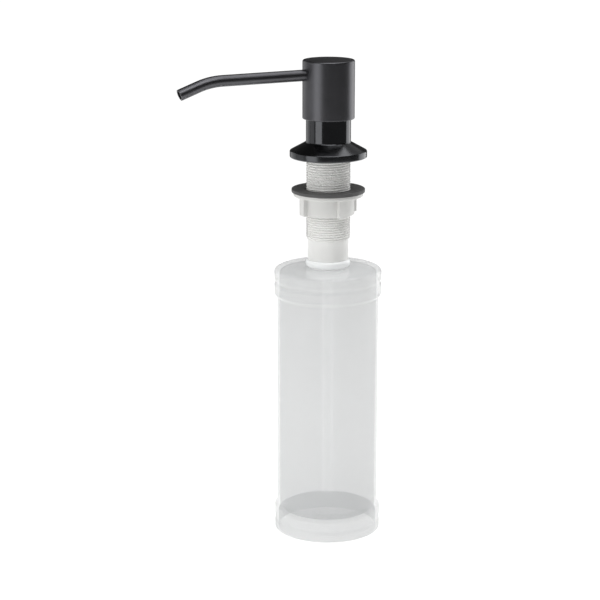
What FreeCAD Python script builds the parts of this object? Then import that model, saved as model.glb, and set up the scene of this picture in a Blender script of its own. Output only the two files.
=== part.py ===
import FreeCAD, Part
import math
import os

# Deck-mounted soap dispenser: a pressed head with a fixed spout, a collar that sits on the
# worktop, a threaded shank clamped from below by a washer and a nut, and a screw-on bottle.
# Millimetres. +Z is up, the origin is on the axis in the plane of the worktop's top face,
# which is the underside of the collar's flange. The spout points along -X.

V = FreeCAD.Vector
UP = V(0, 0, 1)

# ---- Clearances -------------------------------------------------------------------------
slide_fit = 0.06          # radial, pieces that slide or turn in one another
push_fit = 0.02           # radial, pieces pushed together for good
thread_fit = 0.10         # radial, over the crests of a screw thread
loose_fit = 0.30          # radial, pieces that pass each other freely
seat_gap = 0.03           # a valve ball above its seat

# ---- Travel -----------------------------------------------------------------------------
stroke = 12.0             # the head's travel when it is pressed
stroke_gap = 2.15         # head to the cone's top, at the end of the stroke
inner_gap = 1.0           # head core to cylinder cap, at the end of the stroke
boss_gap = 0.5            # core boss to the cap's recess, at the end of the stroke
inlet_lift = 1.5
outlet_lift = 1.2

# ---- Collar -----------------------------------------------------------------------------
rim_d = 47.0
rim_h = 3.8
rim_round = 0.8
rim_bevel = 0.2           # radial, on the rim's upper edge
rim_bevel_h = 0.3
cone_top_z = 9.45         # where the cone meets the sleeve
cone_fillet = 1.3
sleeve_d = 27.3
sleeve_overlap = 4.6      # sleeve hidden inside the head at rest
shank_entry = 7.5         # depth of the threaded socket for the shank
gasket_t = 1.5            # flange gasket, flush with the flange's underside
gasket_inset = 2.0        # from the rim's edge
gasket_bore_gap = 0.5

# ---- Threaded shank ---------------------------------------------------------------------
shank_d = 27.0
shank_pitch = 1.5
thread_depth = 0.92
thread_flat = 0.3         # crest and root flats
shank_thread_l = 58.5
skirt_step = 1.1          # the plain skirt below the thread is this much smaller in radius
skirt_l = 12.1
skirt_wall = 1.45
socket_depth = 12.5       # socket for the bottle's neck
pump_gap = 2.0            # between the pump cylinder and the shank's bore

# ---- Clamp ------------------------------------------------------------------------------
deck_gap = 19.3           # worktop thickness that the clamp is set to
washer_d = 44.8
washer_t = 2.1
washer_round = 0.35
nut_flange_d = 42.4
nut_flange_h = 2.4
nut_h = 13.6
nut_wall = 2.4
nut_round = 0.5
lug_count = 4
lug_reach = 2.5
lug_w = 5.5
lug_round = 1.0
lug_turn = 6.5            # degrees between the first lug and the spout

# ---- Bottle -----------------------------------------------------------------------------
neck_pitch = 3.0
neck_turns = 3
neck_thread_depth = 0.6
neck_wall = 1.45
neck_lead = 1.4           # from the neck's rim to its first ridge
bottle_seal_t = 1.2
bead_step = 3.05          # the bead stands out from the neck's thread by this much in radius
bead_h = 4.2
bead_round = 1.5
root_wall = 2.55          # wall of the neck's root, between the bead and the shoulder
root_h = 1.6
neck_fillet = 1.0
body_d = 62.5
body_wall = 1.4
band_step = 1.75          # the bands stand out from the body by this much in radius
band_h = 15.6             # shoulder to the lower edge of the upper band
bottle_h = 167.9          # shoulder to base
base_band_h = 14.9
band_taper_h = 1.9
base_taper_h = 3.4
shoulder_round = 2.3
base_round = 1.0
groove_r = 1.3
groove_depth = 1.0
upper_groove_drop = 8.2   # from the shoulder
base_groove_rise = 6.8    # from the base
floor_rise = 13.2         # the raised floor above the base
floor_t = 1.5
floor_round = 3.0
base_skirt_wall = 2.5
dip_gap = 8.6             # dip tube end above the floor

# ---- Pump -------------------------------------------------------------------------------
stem_d = 8.0
stem_wall = 2.4
stem_grip = 9.0           # length of stem held in the head core
outlet_wall = 0.9         # stem wall around the outlet ball's chamber
outlet_ball_gap = 0.6     # outlet ball to its chamber's wall
piston_h = 9.0
piston_wall = 2.0
piston_groove = 1.0
piston_rest_gap = 0.5     # under the wiper at rest
clip_h = 2.0
clip_wall = 1.5
cylinder_wall = 1.5
barrel_wall = 2.0
barrel_gap = 0.15         # barrel to the collar's bore
cylinder_flange_t = 1.6
flange_inset = 0.35       # pump flanges inside the sleeve's edge
cylinder_gasket_t = 0.8
cap_flange_t = 1.4
cap_guide_h = 5.5
cap_wall = 1.7
bypass_h = 2.0            # slot in the core that lets soap past the raised outlet ball
wiper_t = 2.0
boss_wall = 1.8
boss_clearance = 0.45
spring_pressed_l = 14.5
spring_turns = 8.0
spring_wire = 1.0
spring_gap = 0.6          # spring to the cylinder's wall
cage_t = 4.0
cage_hole_d = 1.8
cage_pin_d = 1.6
cage_holes = 4
cage_hole_margin = 0.1    # holes inside the ball chamber's wall
inlet_ball_d = 6.0
inlet_chamber_d = 7.4
inlet_passage_d = 4.0
inlet_chamber_h = 7.0
lower_wall = 1.75
dip_grip = 10.0
dip_stop_h = 2.3
dip_d = 7.0
dip_wall = 1.0

# ---- Head and spout ---------------------------------------------------------------------
head_skirt_gap = 0.4      # head to sleeve
head_wall = 1.75
head_top_t = 2.9
head_top_round = 0.9
head_foot_round = 0.4
core_floor = 0.6          # core below the spout seal's groove, on the axis
core_roof = 0.7
spout_d = 6.9
spout_wall = 0.9
spout_droop = 0.8         # degrees below level as it leaves the head
spout_tip_droop = 20.5    # degrees below level at the tip
spout_bend_start = 67.7   # reach where the bend begins
spout_bend_r = 45.0
spout_reach = 94.4
spout_start = 7.0         # the tube's inner end
seal_section = 1.4
seal_reach = 10.9
seal_groove_w = 1.68

# ---- Radii worked out from the sizes above ----------------------------------------------
stem_r = stem_d / 2
stem_bore_r = stem_r - stem_wall
outlet_chamber_r = stem_r - outlet_wall
outlet_ball_r = outlet_chamber_r - outlet_ball_gap
bore_r = stem_r + piston_wall
cylinder_r = bore_r + cylinder_wall
boss_r = stem_r + slide_fit + boss_wall
recess_r = boss_r + boss_clearance
cap_r = recess_r + cap_wall
barrel_bore_r = cap_r + push_fit
barrel_r = barrel_bore_r + barrel_wall
collar_bore_r = barrel_r + barrel_gap
sleeve_r = sleeve_d / 2
pump_flange_r = sleeve_r - flange_inset
head_bore_r = sleeve_r + head_skirt_gap
head_r = head_bore_r + head_wall
shank_r = shank_d / 2
shank_bore_r = cylinder_r + pump_gap
skirt_r = shank_r - skirt_step
socket_r = skirt_r - skirt_wall
neck_thread_r = socket_r - thread_fit
neck_root_r = neck_thread_r - neck_thread_depth
neck_bore_r = neck_root_r - neck_wall
bead_r = neck_thread_r + bead_step
root_r = neck_bore_r + root_wall
nut_bore_r = shank_r + thread_fit
nut_r = nut_bore_r + nut_wall
lug_r = nut_r + lug_reach
body_r = body_d / 2
band_r = body_r + band_step
rim_r = rim_d / 2
spout_r = spout_d / 2
dip_r = dip_d / 2
lower_r = dip_r + lower_wall

# ---- Heights worked out from the sizes above --------------------------------------------
head_z = cone_top_z + stroke_gap + stroke
sleeve_top_z = head_z + sleeve_overlap
cylinder_flange_z = sleeve_top_z + cylinder_gasket_t
cap_flange_z = cylinder_flange_z + cylinder_flange_t
cap_top_z = cap_flange_z + cap_flange_t
core_z = cap_top_z + inner_gap + stroke
spout_axis_z = core_z + core_floor + seal_section + spout_r
core_top_z = spout_axis_z + spout_r + seal_section + core_roof
head_top_z = core_top_z + head_top_t
stem_top_z = core_z
boss_z = core_z - stem_grip
recess_z = boss_z - stroke - boss_gap
cap_z = recess_z - cap_guide_h
barrel_floor_z = cap_z - wiper_t
piston_top_z = barrel_floor_z - piston_rest_gap
piston_z = piston_top_z - piston_h
clip_z = piston_z - clip_h
cage_top_z = clip_z - stroke - spring_pressed_l
cage_z = cage_top_z - cage_t
seat_z = cage_z - inlet_chamber_h
inlet_apex_z = seat_z - inlet_chamber_d / 2
inlet_throat_z = inlet_apex_z + inlet_passage_d / 2
inlet_ball_r = inlet_ball_d / 2
inlet_ball_z = inlet_apex_z + inlet_ball_r * math.sqrt(2) + seat_gap
dip_top_z = inlet_throat_z - dip_stop_h
cylinder_z = dip_top_z - dip_grip
outlet_ball_z = stem_top_z - outlet_lift - seat_gap - outlet_ball_r
outlet_apex_z = outlet_ball_z - outlet_ball_r * math.sqrt(2) - seat_gap
outlet_throat_z = outlet_apex_z + stem_bore_r
outlet_rim_z = outlet_apex_z + outlet_chamber_r

shank_top_z = shank_entry
skirt_top_z = shank_top_z - shank_thread_l
skirt_z = skirt_top_z - skirt_l
socket_z = skirt_z + socket_depth
neck_top_z = socket_z - bottle_seal_t
bead_z = skirt_z - bead_h
shoulder_z = bead_z - root_h
base_z = shoulder_z - bottle_h
floor_z = base_z + floor_rise
dip_z = floor_z + dip_gap
washer_top_z = -deck_gap
washer_z = washer_top_z - washer_t
nut_flange_z = washer_z - nut_flange_h
nut_z = washer_z - nut_h


# ---- Helpers ----------------------------------------------------------------------------
def revolved(outline):
    """Turn a closed outline of (radius, height) points about the Z axis."""
    points = [V(radius, 0, height) for radius, height in outline]
    wire = Part.makePolygon(points + points[:1])
    return Part.Face(wire).revolve(V(0, 0, 0), UP, 360)


def ring(inner_r, outer_r, low_z, high_z):
    """A plain ring, or a disc where the inner radius is zero."""
    return revolved([(inner_r, low_z), (outer_r, low_z), (outer_r, high_z), (inner_r, high_z)])


def rod(radius, start, direction, length):
    """A solid cylinder from a start point along a direction."""
    return Part.makeCylinder(radius, length, start, direction)


def rounded(shape, radius, rims):
    """Fillet the circular edges that lie at the given (radius, height) pairs."""
    edges = []
    for edge in shape.Edges:
        if not isinstance(edge.Curve, Part.Circle):
            continue
        for rim_r, rim_z in rims:
            at_radius = abs(edge.Curve.Radius - rim_r) < 1e-4
            at_height = abs(edge.Curve.Center.z - rim_z) < 1e-4
            if at_radius and at_height:
                edges.append(edge)
    return shape.makeFillet(radius, edges)


def thread_points(root_r, crest_r, top_z, pitch, count, flat):
    """Outline points of a thread's ridges, from the top down, starting and ending at the root."""
    flank = pitch / 2 - flat
    points = []
    for turn in range(count):
        z = top_z - turn * pitch
        points.append((root_r, z))
        points.append((crest_r, z - flank))
        points.append((crest_r, z - flank - flat))
        points.append((root_r, z - 2 * flank - flat))
    return points


def around(shape, count, start_angle):
    """Copies of a shape evenly spaced about the Z axis."""
    copies = []
    for index in range(count):
        copy = shape.copy()
        copy.rotate(V(0, 0, 0), UP, start_angle + index * 360 / count)
        copies.append(copy)
    return copies


def save(name, shape):
    """Write one piece to its own file."""
    shape.exportStep(f"parts/{name}.step")


# ---- Collar, gasket and shank -----------------------------------------------------------
def collar():
    """Flange, cone and sleeve in one piece, with a socket underneath for the shank."""
    body = revolved([
        (shank_r + thread_fit, 0),
        (rim_r, 0),
        (rim_r, rim_h),
        (rim_r - rim_bevel, rim_h + rim_bevel_h),
        (sleeve_r, cone_top_z),
        (sleeve_r, sleeve_top_z),
        (collar_bore_r, sleeve_top_z),
        (collar_bore_r, shank_top_z),
        (shank_r + thread_fit, shank_top_z),
    ])
    body = rounded(body, cone_fillet, [(sleeve_r, cone_top_z)])
    body = rounded(body, rim_round, [(rim_r, 0)])
    recess = ring(shank_r, rim_r - gasket_inset, -1, gasket_t)
    return body.cut(recess)


def flange_gasket():
    """Flat ring in the flange's recess, flush with its underside."""
    return ring(shank_r + gasket_bore_gap, rim_r - gasket_inset - push_fit, 0, gasket_t)


def shank():
    """Threaded tube through the worktop, with a plain skirt that takes the bottle's neck."""
    thread_root_r = shank_r - thread_depth
    count = int(shank_thread_l / shank_pitch) - 1
    lead = (shank_thread_l - count * shank_pitch) / 2
    outline = [(shank_bore_r, shank_top_z), (thread_root_r, shank_top_z)]
    outline += thread_points(
        thread_root_r, shank_r, shank_top_z - lead, shank_pitch, count, thread_flat)
    outline += [
        (thread_root_r, skirt_top_z + thread_flat),
        (skirt_r, skirt_top_z),
        (skirt_r, skirt_z),
        (socket_r, skirt_z),
        (socket_r, socket_z),
        (shank_bore_r, socket_z),
    ]
    return revolved(outline)


# ---- Clamp ------------------------------------------------------------------------------
def deck_washer():
    """Flat rubber washer that bears on the worktop's underside."""
    body = ring(shank_r + loose_fit, washer_d / 2, washer_z, washer_top_z)
    return rounded(body, washer_round, [(washer_d / 2, washer_z), (washer_d / 2, washer_top_z)])


def mounting_nut():
    """Flanged hand nut with lugs to turn it by."""
    body = revolved([
        (0, washer_z),
        (nut_flange_d / 2, washer_z),
        (nut_flange_d / 2, nut_flange_z),
        (nut_r, nut_flange_z),
        (nut_r, nut_z),
        (0, nut_z),
    ])
    body = rounded(body, nut_round, [(nut_flange_d / 2, nut_flange_z), (nut_r, nut_z)])
    lug_h = nut_flange_z - nut_z + nut_flange_h / 2
    lug = Part.makeBox(lug_r, lug_w, lug_h, V(0, -lug_w / 2, nut_z))
    outer = [e for e in lug.Edges if e.BoundBox.XMin > lug_r - 1e-6]
    outer = [e for e in outer if e.BoundBox.ZMin < nut_z + lug_h - 1e-6]
    lug = lug.makeFillet(lug_round, outer)
    body = body.fuse(around(lug, lug_count, 180 + lug_turn))
    bore = ring(0, nut_bore_r, nut_z - 1, washer_z + 1)
    return body.cut(bore).removeSplitter()


# ---- Bottle -----------------------------------------------------------------------------
def bottle_seal():
    """Flat seal between the neck's rim and the shank."""
    return ring(neck_bore_r, neck_thread_r - push_fit, neck_top_z, socket_z)


def bottle():
    """Blow-moulded bottle with a screw neck, a banded shoulder and a banded, raised base."""
    flat = neck_pitch / 6
    outline = [(0, neck_top_z), (neck_root_r, neck_top_z)]
    outline += thread_points(
        neck_root_r, neck_thread_r, neck_top_z - neck_lead, neck_pitch, neck_turns, flat)
    outline += [
        (neck_root_r, skirt_z),
        (bead_r, skirt_z),
        (bead_r, bead_z),
        (root_r, bead_z),
        (root_r, shoulder_z),
        (band_r, shoulder_z),
        (band_r, shoulder_z - band_h),
        (body_r, shoulder_z - band_h - band_taper_h),
        (body_r, base_z + base_band_h + base_taper_h),
        (band_r, base_z + base_band_h),
        (band_r, base_z),
        (0, base_z),
    ]
    body = revolved(outline)
    body = rounded(body, bead_round, [(bead_r, skirt_z), (bead_r, bead_z)])
    body = rounded(body, neck_fillet, [(root_r, shoulder_z)])
    body = rounded(body, shoulder_round, [(band_r, shoulder_z)])
    body = rounded(body, base_round, [(band_r, base_z)])
    for groove_z in (shoulder_z - upper_groove_drop, base_z + base_groove_rise):
        groove = Part.makeTorus(band_r + groove_r - groove_depth, groove_r)
        groove.translate(V(0, 0, groove_z))
        body = body.cut(groove)
    cavity_r = body_r - body_wall
    cavity_top_z = shoulder_z - body_wall
    cavity = ring(0, cavity_r, floor_z, cavity_top_z)
    cavity = rounded(cavity, floor_round, [(cavity_r, floor_z)])
    cavity = rounded(cavity, shoulder_round - body_wall / 2, [(cavity_r, cavity_top_z)])
    neck_bore = ring(0, neck_bore_r, cavity_top_z - 1, neck_top_z + 1)
    recess_bore_r = band_r - base_skirt_wall
    recess = ring(0, recess_bore_r, base_z - 1, floor_z - floor_t)
    recess = rounded(recess, base_round, [(recess_bore_r, floor_z - floor_t)])
    return body.cut(cavity.fuse(neck_bore)).cut(recess)


# ---- Pump body --------------------------------------------------------------------------
def cylinder_gasket():
    """Soft ring between the cylinder's flange and the collar's sleeve."""
    return ring(collar_bore_r, pump_flange_r, sleeve_top_z, cylinder_flange_z)


def pump_cylinder():
    """Stepped cylinder: flange, wide barrel, bore, ball chamber and a socket for the dip tube."""
    return revolved([
        (pump_flange_r, cylinder_flange_z),
        (pump_flange_r, cap_flange_z),
        (barrel_bore_r, cap_flange_z),
        (barrel_bore_r, barrel_floor_z),
        (bore_r, barrel_floor_z),
        (bore_r, cage_z),
        (inlet_chamber_d / 2, cage_z),
        (inlet_chamber_d / 2, seat_z),
        (inlet_passage_d / 2, inlet_throat_z),
        (inlet_passage_d / 2, dip_top_z),
        (dip_r + push_fit, dip_top_z),
        (dip_r + push_fit, cylinder_z),
        (lower_r, cylinder_z),
        (lower_r, cage_z - cylinder_wall),
        (cylinder_r, cage_z),
        (cylinder_r, barrel_floor_z - cylinder_wall),
        (barrel_r, barrel_floor_z),
        (barrel_r, cylinder_flange_z),
    ])


def cylinder_cap():
    """Guide bush pushed into the barrel, with a recess that takes the core's boss."""
    guide_r = stem_r + slide_fit
    return revolved([
        (guide_r, cap_z),
        (cap_r, cap_z),
        (cap_r, cap_flange_z),
        (pump_flange_r, cap_flange_z),
        (pump_flange_r, cap_top_z),
        (recess_r, cap_top_z),
        (recess_r, recess_z),
        (guide_r, recess_z),
    ])


def stem_wiper():
    """Seal under the guide bush that wipes the stem."""
    return ring(stem_r + slide_fit, cap_r, barrel_floor_z, cap_z)


def ball_cage():
    """Drilled disc that seats the spring and stops the inlet ball with a short pin."""
    pin_z = inlet_ball_z + inlet_ball_r + inlet_lift + seat_gap
    disc = ring(0, bore_r - push_fit, cage_z, cage_top_z)
    pin = ring(0, cage_pin_d / 2, pin_z, cage_z + 1)
    hole_circle_r = (inlet_chamber_d - cage_hole_d) / 2 - cage_hole_margin
    hole = rod(cage_hole_d / 2, V(hole_circle_r, 0, cage_z - 1), UP, cage_t + 2)
    return disc.fuse(pin).cut(around(hole, cage_holes, 0))


def dip_tube():
    """Straight tube from the pump down to just above the bottle's floor."""
    return ring(dip_r - dip_wall, dip_r, dip_z, dip_top_z)


# ---- Plunger ----------------------------------------------------------------------------
def pump_stem():
    """Hollow stem with the outlet valve's seat and chamber at its top."""
    return revolved([
        (stem_bore_r, clip_z),
        (stem_r, clip_z),
        (stem_r, stem_top_z),
        (outlet_chamber_r, stem_top_z),
        (outlet_chamber_r, outlet_rim_z),
        (stem_bore_r, outlet_throat_z),
    ])


def pump_piston():
    """Piston with two sealing lips and a waist between them."""
    lip_r = bore_r - slide_fit
    lip_h = piston_h / 4
    inner_r = stem_r + push_fit
    waist_r = lip_r - piston_groove
    return revolved([
        (inner_r, piston_z),
        (lip_r, piston_z),
        (lip_r, piston_z + lip_h),
        (waist_r, piston_z + lip_h + piston_groove / 2),
        (waist_r, piston_top_z - lip_h - piston_groove / 2),
        (lip_r, piston_top_z - lip_h),
        (lip_r, piston_top_z),
        (inner_r, piston_top_z),
    ])


def piston_clip():
    """Ring that holds the piston on the stem and seats the spring's top."""
    return ring(stem_r + push_fit, stem_r + clip_wall, clip_z, piston_z)


def return_spring():
    """Helical compression spring between the piston clip and the ball cage."""
    coil_r = bore_r - spring_gap - spring_wire / 2
    wire_r = spring_wire / 2
    length = clip_z - cage_top_z - spring_wire
    helix = Part.makeHelix(length / spring_turns, length, coil_r)
    section = Part.Wire(Part.makeCircle(wire_r, V(coil_r, 0, 0), V(0, 1, 0)))
    coil = Part.Wire(helix.Edges).makePipeShell([section], True, True)
    coil.translate(V(0, 0, cage_top_z + wire_r))
    return coil


# ---- Head -------------------------------------------------------------------------------
def spout_direction():
    """Unit vector along the spout's first stretch."""
    droop = math.radians(spout_droop)
    return V(-math.cos(droop), 0, -math.sin(droop))


def spout_point(reach):
    """Point on the spout's first stretch at a distance from the pump's axis."""
    return V(-reach, 0, spout_axis_z - reach * math.tan(math.radians(spout_droop)))


def spout_path(start_reach):
    """Straight run, tangent bend and straight end of the spout's centreline."""
    first = math.radians(spout_droop)
    last = math.radians(spout_tip_droop)
    start = spout_point(start_reach)
    bend_start = spout_point(spout_bend_start)
    centre = bend_start + V(math.sin(first), 0, -math.cos(first)) * spout_bend_r

    def on_bend(angle):
        return centre + V(-math.sin(angle), 0, math.cos(angle)) * spout_bend_r

    bend_end = on_bend(last)
    run = spout_reach + bend_end.x
    tip = bend_end + V(-run, 0, -run * math.tan(last))
    return Part.Wire([
        Part.LineSegment(start, bend_start).toShape(),
        Part.Arc(bend_start, on_bend((first + last) / 2), bend_end).toShape(),
        Part.LineSegment(bend_end, tip).toShape(),
    ])


def swept_disc(path, radius):
    """Solid of a round section carried along a path that starts on the spout's first stretch."""
    start = path.OrderedVertexes[0].Point
    section = Part.Wire(Part.makeCircle(radius, start, spout_direction()))
    return path.makePipeShell([section], True, False)


def head_cap():
    """Turned metal cap, closed on top, that slides over the collar's sleeve."""
    body = revolved([
        (head_bore_r, head_z),
        (head_r, head_z),
        (head_r, head_top_z),
        (0, head_top_z),
        (0, core_top_z),
        (head_bore_r, core_top_z),
    ])
    body = rounded(body, head_top_round, [(head_r, head_top_z)])
    body = rounded(body, head_foot_round, [(head_r, head_z)])
    hole = rod(spout_r + push_fit, spout_point(head_bore_r - 2), spout_direction(), head_wall + 4)
    return body.cut(hole)


def spout_tube():
    """Thin metal tube, bent near its end and cut square."""
    path = spout_path(spout_start)
    return swept_disc(path, spout_r).cut(swept_disc(path, spout_r - spout_wall))


def head_core():
    """Plastic insert that joins the stem to the spout inside the cap."""
    core_r = head_bore_r - push_fit
    passage_r = spout_r - spout_wall
    body = revolved([
        (stem_r + slide_fit, boss_z),
        (boss_r, boss_z),
        (boss_r, core_z),
        (core_r, core_z),
        (core_r, core_top_z),
        (0, core_top_z),
        (0, core_z),
        (stem_r + slide_fit, core_z),
    ])
    riser = rod(stem_bore_r, V(0, 0, core_z - 1), UP, spout_axis_z - core_z + 1)
    bypass_l = 2 * (outlet_ball_r + outlet_ball_gap / 2)
    bypass = Part.makeBox(stem_bore_r, bypass_l, bypass_h + 1)
    bypass.translate(V(-stem_bore_r / 2, -bypass_l / 2, core_z - 1))
    passage = rod(passage_r, spout_point(0), spout_direction(), spout_start + 1)
    socket = rod(spout_r + push_fit, spout_point(spout_start), spout_direction(), core_r)
    groove_start = spout_point(seal_reach - seal_groove_w / 2)
    groove = rod(spout_r + seal_section, groove_start, spout_direction(), seal_groove_w)
    return body.cut([riser, bypass, passage, socket, groove])


def spout_seal():
    """O-ring around the spout's inner end."""
    section_r = seal_section / 2 - push_fit
    coil_r = spout_r + seal_section / 2
    return Part.makeTorus(coil_r, section_r, spout_point(seal_reach), spout_direction())


# ---- Valve balls ------------------------------------------------------------------------
def ball(radius, height):
    """Steel valve ball centred on the axis."""
    return Part.makeSphere(radius, V(0, 0, height))


PIECES = {
    "collar": collar,
    "flange_gasket": flange_gasket,
    "shank": shank,
    "deck_washer": deck_washer,
    "mounting_nut": mounting_nut,
    "bottle_seal": bottle_seal,
    "bottle": bottle,
    "cylinder_gasket": cylinder_gasket,
    "pump_cylinder": pump_cylinder,
    "cylinder_cap": cylinder_cap,
    "stem_wiper": stem_wiper,
    "ball_cage": ball_cage,
    "dip_tube": dip_tube,
    "pump_stem": pump_stem,
    "pump_piston": pump_piston,
    "piston_clip": piston_clip,
    "return_spring": return_spring,
    "head_cap": head_cap,
    "head_core": head_core,
    "spout_tube": spout_tube,
    "spout_seal": spout_seal,
    "inlet_ball": lambda: ball(inlet_ball_r, inlet_ball_z),
    "outlet_ball": lambda: ball(outlet_ball_r, outlet_ball_z),
}

os.makedirs("parts", exist_ok=True)
for name, build in PIECES.items():
    save(name, build())
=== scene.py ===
"""Deck-mounted soap dispenser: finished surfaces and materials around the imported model."""
import math

import bmesh
import bpy
import numpy as np
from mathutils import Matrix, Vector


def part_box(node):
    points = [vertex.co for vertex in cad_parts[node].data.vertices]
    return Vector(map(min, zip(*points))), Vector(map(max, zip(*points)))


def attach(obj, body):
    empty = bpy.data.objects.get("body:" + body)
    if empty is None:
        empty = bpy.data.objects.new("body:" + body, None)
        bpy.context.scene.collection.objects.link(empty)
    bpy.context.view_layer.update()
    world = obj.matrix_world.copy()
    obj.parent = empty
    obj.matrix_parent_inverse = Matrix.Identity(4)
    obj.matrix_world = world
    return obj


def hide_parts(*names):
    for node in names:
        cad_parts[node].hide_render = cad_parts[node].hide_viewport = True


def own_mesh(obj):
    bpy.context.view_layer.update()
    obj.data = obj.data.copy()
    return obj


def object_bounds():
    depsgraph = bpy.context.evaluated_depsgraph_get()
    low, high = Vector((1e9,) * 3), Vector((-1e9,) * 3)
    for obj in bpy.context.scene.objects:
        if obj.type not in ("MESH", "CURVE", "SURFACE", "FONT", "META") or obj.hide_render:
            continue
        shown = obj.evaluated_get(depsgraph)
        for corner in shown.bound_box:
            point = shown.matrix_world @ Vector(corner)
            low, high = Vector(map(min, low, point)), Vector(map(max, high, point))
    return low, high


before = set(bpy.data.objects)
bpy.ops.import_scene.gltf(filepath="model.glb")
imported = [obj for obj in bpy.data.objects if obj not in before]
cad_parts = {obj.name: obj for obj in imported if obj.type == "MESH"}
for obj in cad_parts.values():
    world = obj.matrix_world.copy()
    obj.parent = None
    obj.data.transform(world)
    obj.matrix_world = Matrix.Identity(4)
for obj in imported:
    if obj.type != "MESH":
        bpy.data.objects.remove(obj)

bl_info = {
    "name": "Soap dispenser",
    "version": (1, 0, 0),
    "blender": (4, 5, 0),
    "location": "View3D > Sidebar > Soap dispenser",
    "description": "Builds a deck-mounted soap dispenser's pieces around its packed model",
    "category": "Add Mesh",
}

MM = 0.001
THIN_EDGE = 0.15 * MM     # rounding of thin edges, as on seals and the dip tube
TINY = 1e-7               # for comparing lengths in metres
WELD = 1e-8               # vertices closer than this become one
X, Z = 0, 2
FULL_TURN = 2 * math.pi
CAD_BOX = [list(corner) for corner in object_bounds()]

COLUMNS = 192             # round a turned piece
FINE_COLUMNS = 256        # round the bottle, the head and the collar
SLIM_COLUMNS = 96         # round the dip tube and the plunger
ARC_STEPS = 8             # along each rounded corner
SHARP_ANGLE = math.radians(32)
THREAD_SHARP_ANGLE = math.radians(75)
NOISE_LOW, NOISE_HIGH = 0.3, 0.7      # a noise stays mostly between these
WHITE = (1.0, 1.0, 1.0, 1.0)
MIX_FIRST, MIX_SECOND, MIX_RESULT = 6, 7, 2     # places of a Mix node's colour sockets


# ---- Places read from the frame ---------------------------------------------------------
def low(node, axis=Z):
    """Lowest coordinate of a CAD node along an axis, in metres."""
    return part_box(node)[0][axis]


def high(node, axis=Z):
    """Highest coordinate of a CAD node along an axis, in metres."""
    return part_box(node)[1][axis]


# ---- Colours ----------------------------------------------------------------------------
def srgb(hex_colour):
    """Linear RGBA of an sRGB hex colour: the piecewise sRGB curve on each channel."""
    value = np.array([int(hex_colour[i:i + 2], 16) for i in (1, 3, 5)]) / 255
    linear = np.where(value <= 0.04045, value / 12.92, ((value + 0.055) / 1.055) ** 2.4)
    return (*linear.tolist(), 1.0)


# ---- Sizes and colours that a user may change ---------------------------------------------
def length(name, description, default):
    """A length property in metres."""
    return bpy.props.FloatProperty(
        name=name, description=description, default=default, min=0.0, precision=5,
        unit="LENGTH")


def angle(name, description, degrees):
    """An angle property, given in degrees."""
    return bpy.props.FloatProperty(
        name=name, description=description, default=math.radians(degrees), unit="ROTATION")


def colour(name, description, hex_colour):
    """A colour property, given as an sRGB hex colour."""
    return bpy.props.FloatVectorProperty(
        name=name, description=description, default=srgb(hex_colour)[:3], size=3,
        min=0.0, max=1.0, subtype="COLOR")


class DispenserSizes(bpy.types.PropertyGroup):
    """Sizes that shape the dispenser's pieces. Outer sizes come from the frame."""

    head_r: length("Head radius", "Outside radius of the head", high("head_cap", X))
    head_wall: length("Head wall", "Wall of the head's skirt", 1.75 * MM)
    head_top_round: length("Head top edge", "Rounding of the head's top edge", 0.9 * MM)
    edge_round: length("Edge rounding", "Rounding of a turned edge", 0.4 * MM)
    spout_r: length("Spout radius", "Outside radius of the spout", 3.45 * MM)
    spout_wall: length("Spout wall", "Wall of the spout's tube", 0.9 * MM)
    spout_bend_r: length("Spout bend", "Radius of the spout's bend", 45 * MM)
    spout_droop: angle("Spout droop", "Fall of the spout where it leaves the head", 0.8)
    tip_droop: angle("Tip droop", "Fall of the spout's last stretch", 20.5)
    rim_round: length("Rim rounding", "Rounding of the flange's edges", 0.8 * MM)
    cone_fillet: length("Cone fillet", "Fillet between the cone and the sleeve", 1.3 * MM)
    shank_r: length("Shank radius", "Radius over the shank's thread", high("shank", X))
    shank_pitch: length("Shank pitch", "Advance of the shank's thread per turn", 1.5 * MM)
    thread_depth: length("Thread depth", "Depth of the shank's thread", 0.92 * MM)
    washer_r: length("Washer radius", "Outside radius of the washer", high("deck_washer", X))
    lug_w: length("Lug width", "Width of a lug on the nut", 5.5 * MM)
    band_r: length("Band radius", "Radius of the bottle's bands", high("bottle", X))
    body_step: length("Band step", "How far the bands stand out from the body", 1.75 * MM)
    neck_pitch: length("Neck pitch", "Advance of the neck's thread per turn", 3 * MM)
    dip_r: length("Dip tube radius", "Outside radius of the dip tube", high("dip_tube", X))


class DispenserFinishes(bpy.types.PropertyGroup):
    """Colours of the dispenser's materials."""

    gunmetal: colour("Gunmetal", "Satin coating of the head and spout", "#565659")
    black_nickel: colour("Black nickel", "Polished plating of the collar", "#494a4c")
    white_plastic: colour("White plastic", "Threaded shank", "#e5e5e3")
    nut_plastic: colour("Nut plastic", "Moulded nut", "#d0d0ce")
    bottle_plastic: colour("Bottle plastic", "Translucent wall of the bottle", "#a9abac")
    tube_plastic: colour("Tube plastic", "Drawn tube inside the bottle", "#fafbfb")
    pump_plastic: colour("Pump plastic", "Moulded pump body", "#e6e6e2")
    piston_plastic: colour("Piston plastic", "Softer plastic of the piston", "#ccd0d4")
    grey_rubber: colour("Grey rubber", "Washer under the worktop", "#474747")
    seal_rubber: colour("Seal rubber", "Gaskets and seals", "#1e1e1f")
    steel: colour("Steel", "Spring and valve balls", "#b9babb")
    floor: colour("Floor", "Studio floor", "#f6f6f5")


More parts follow.
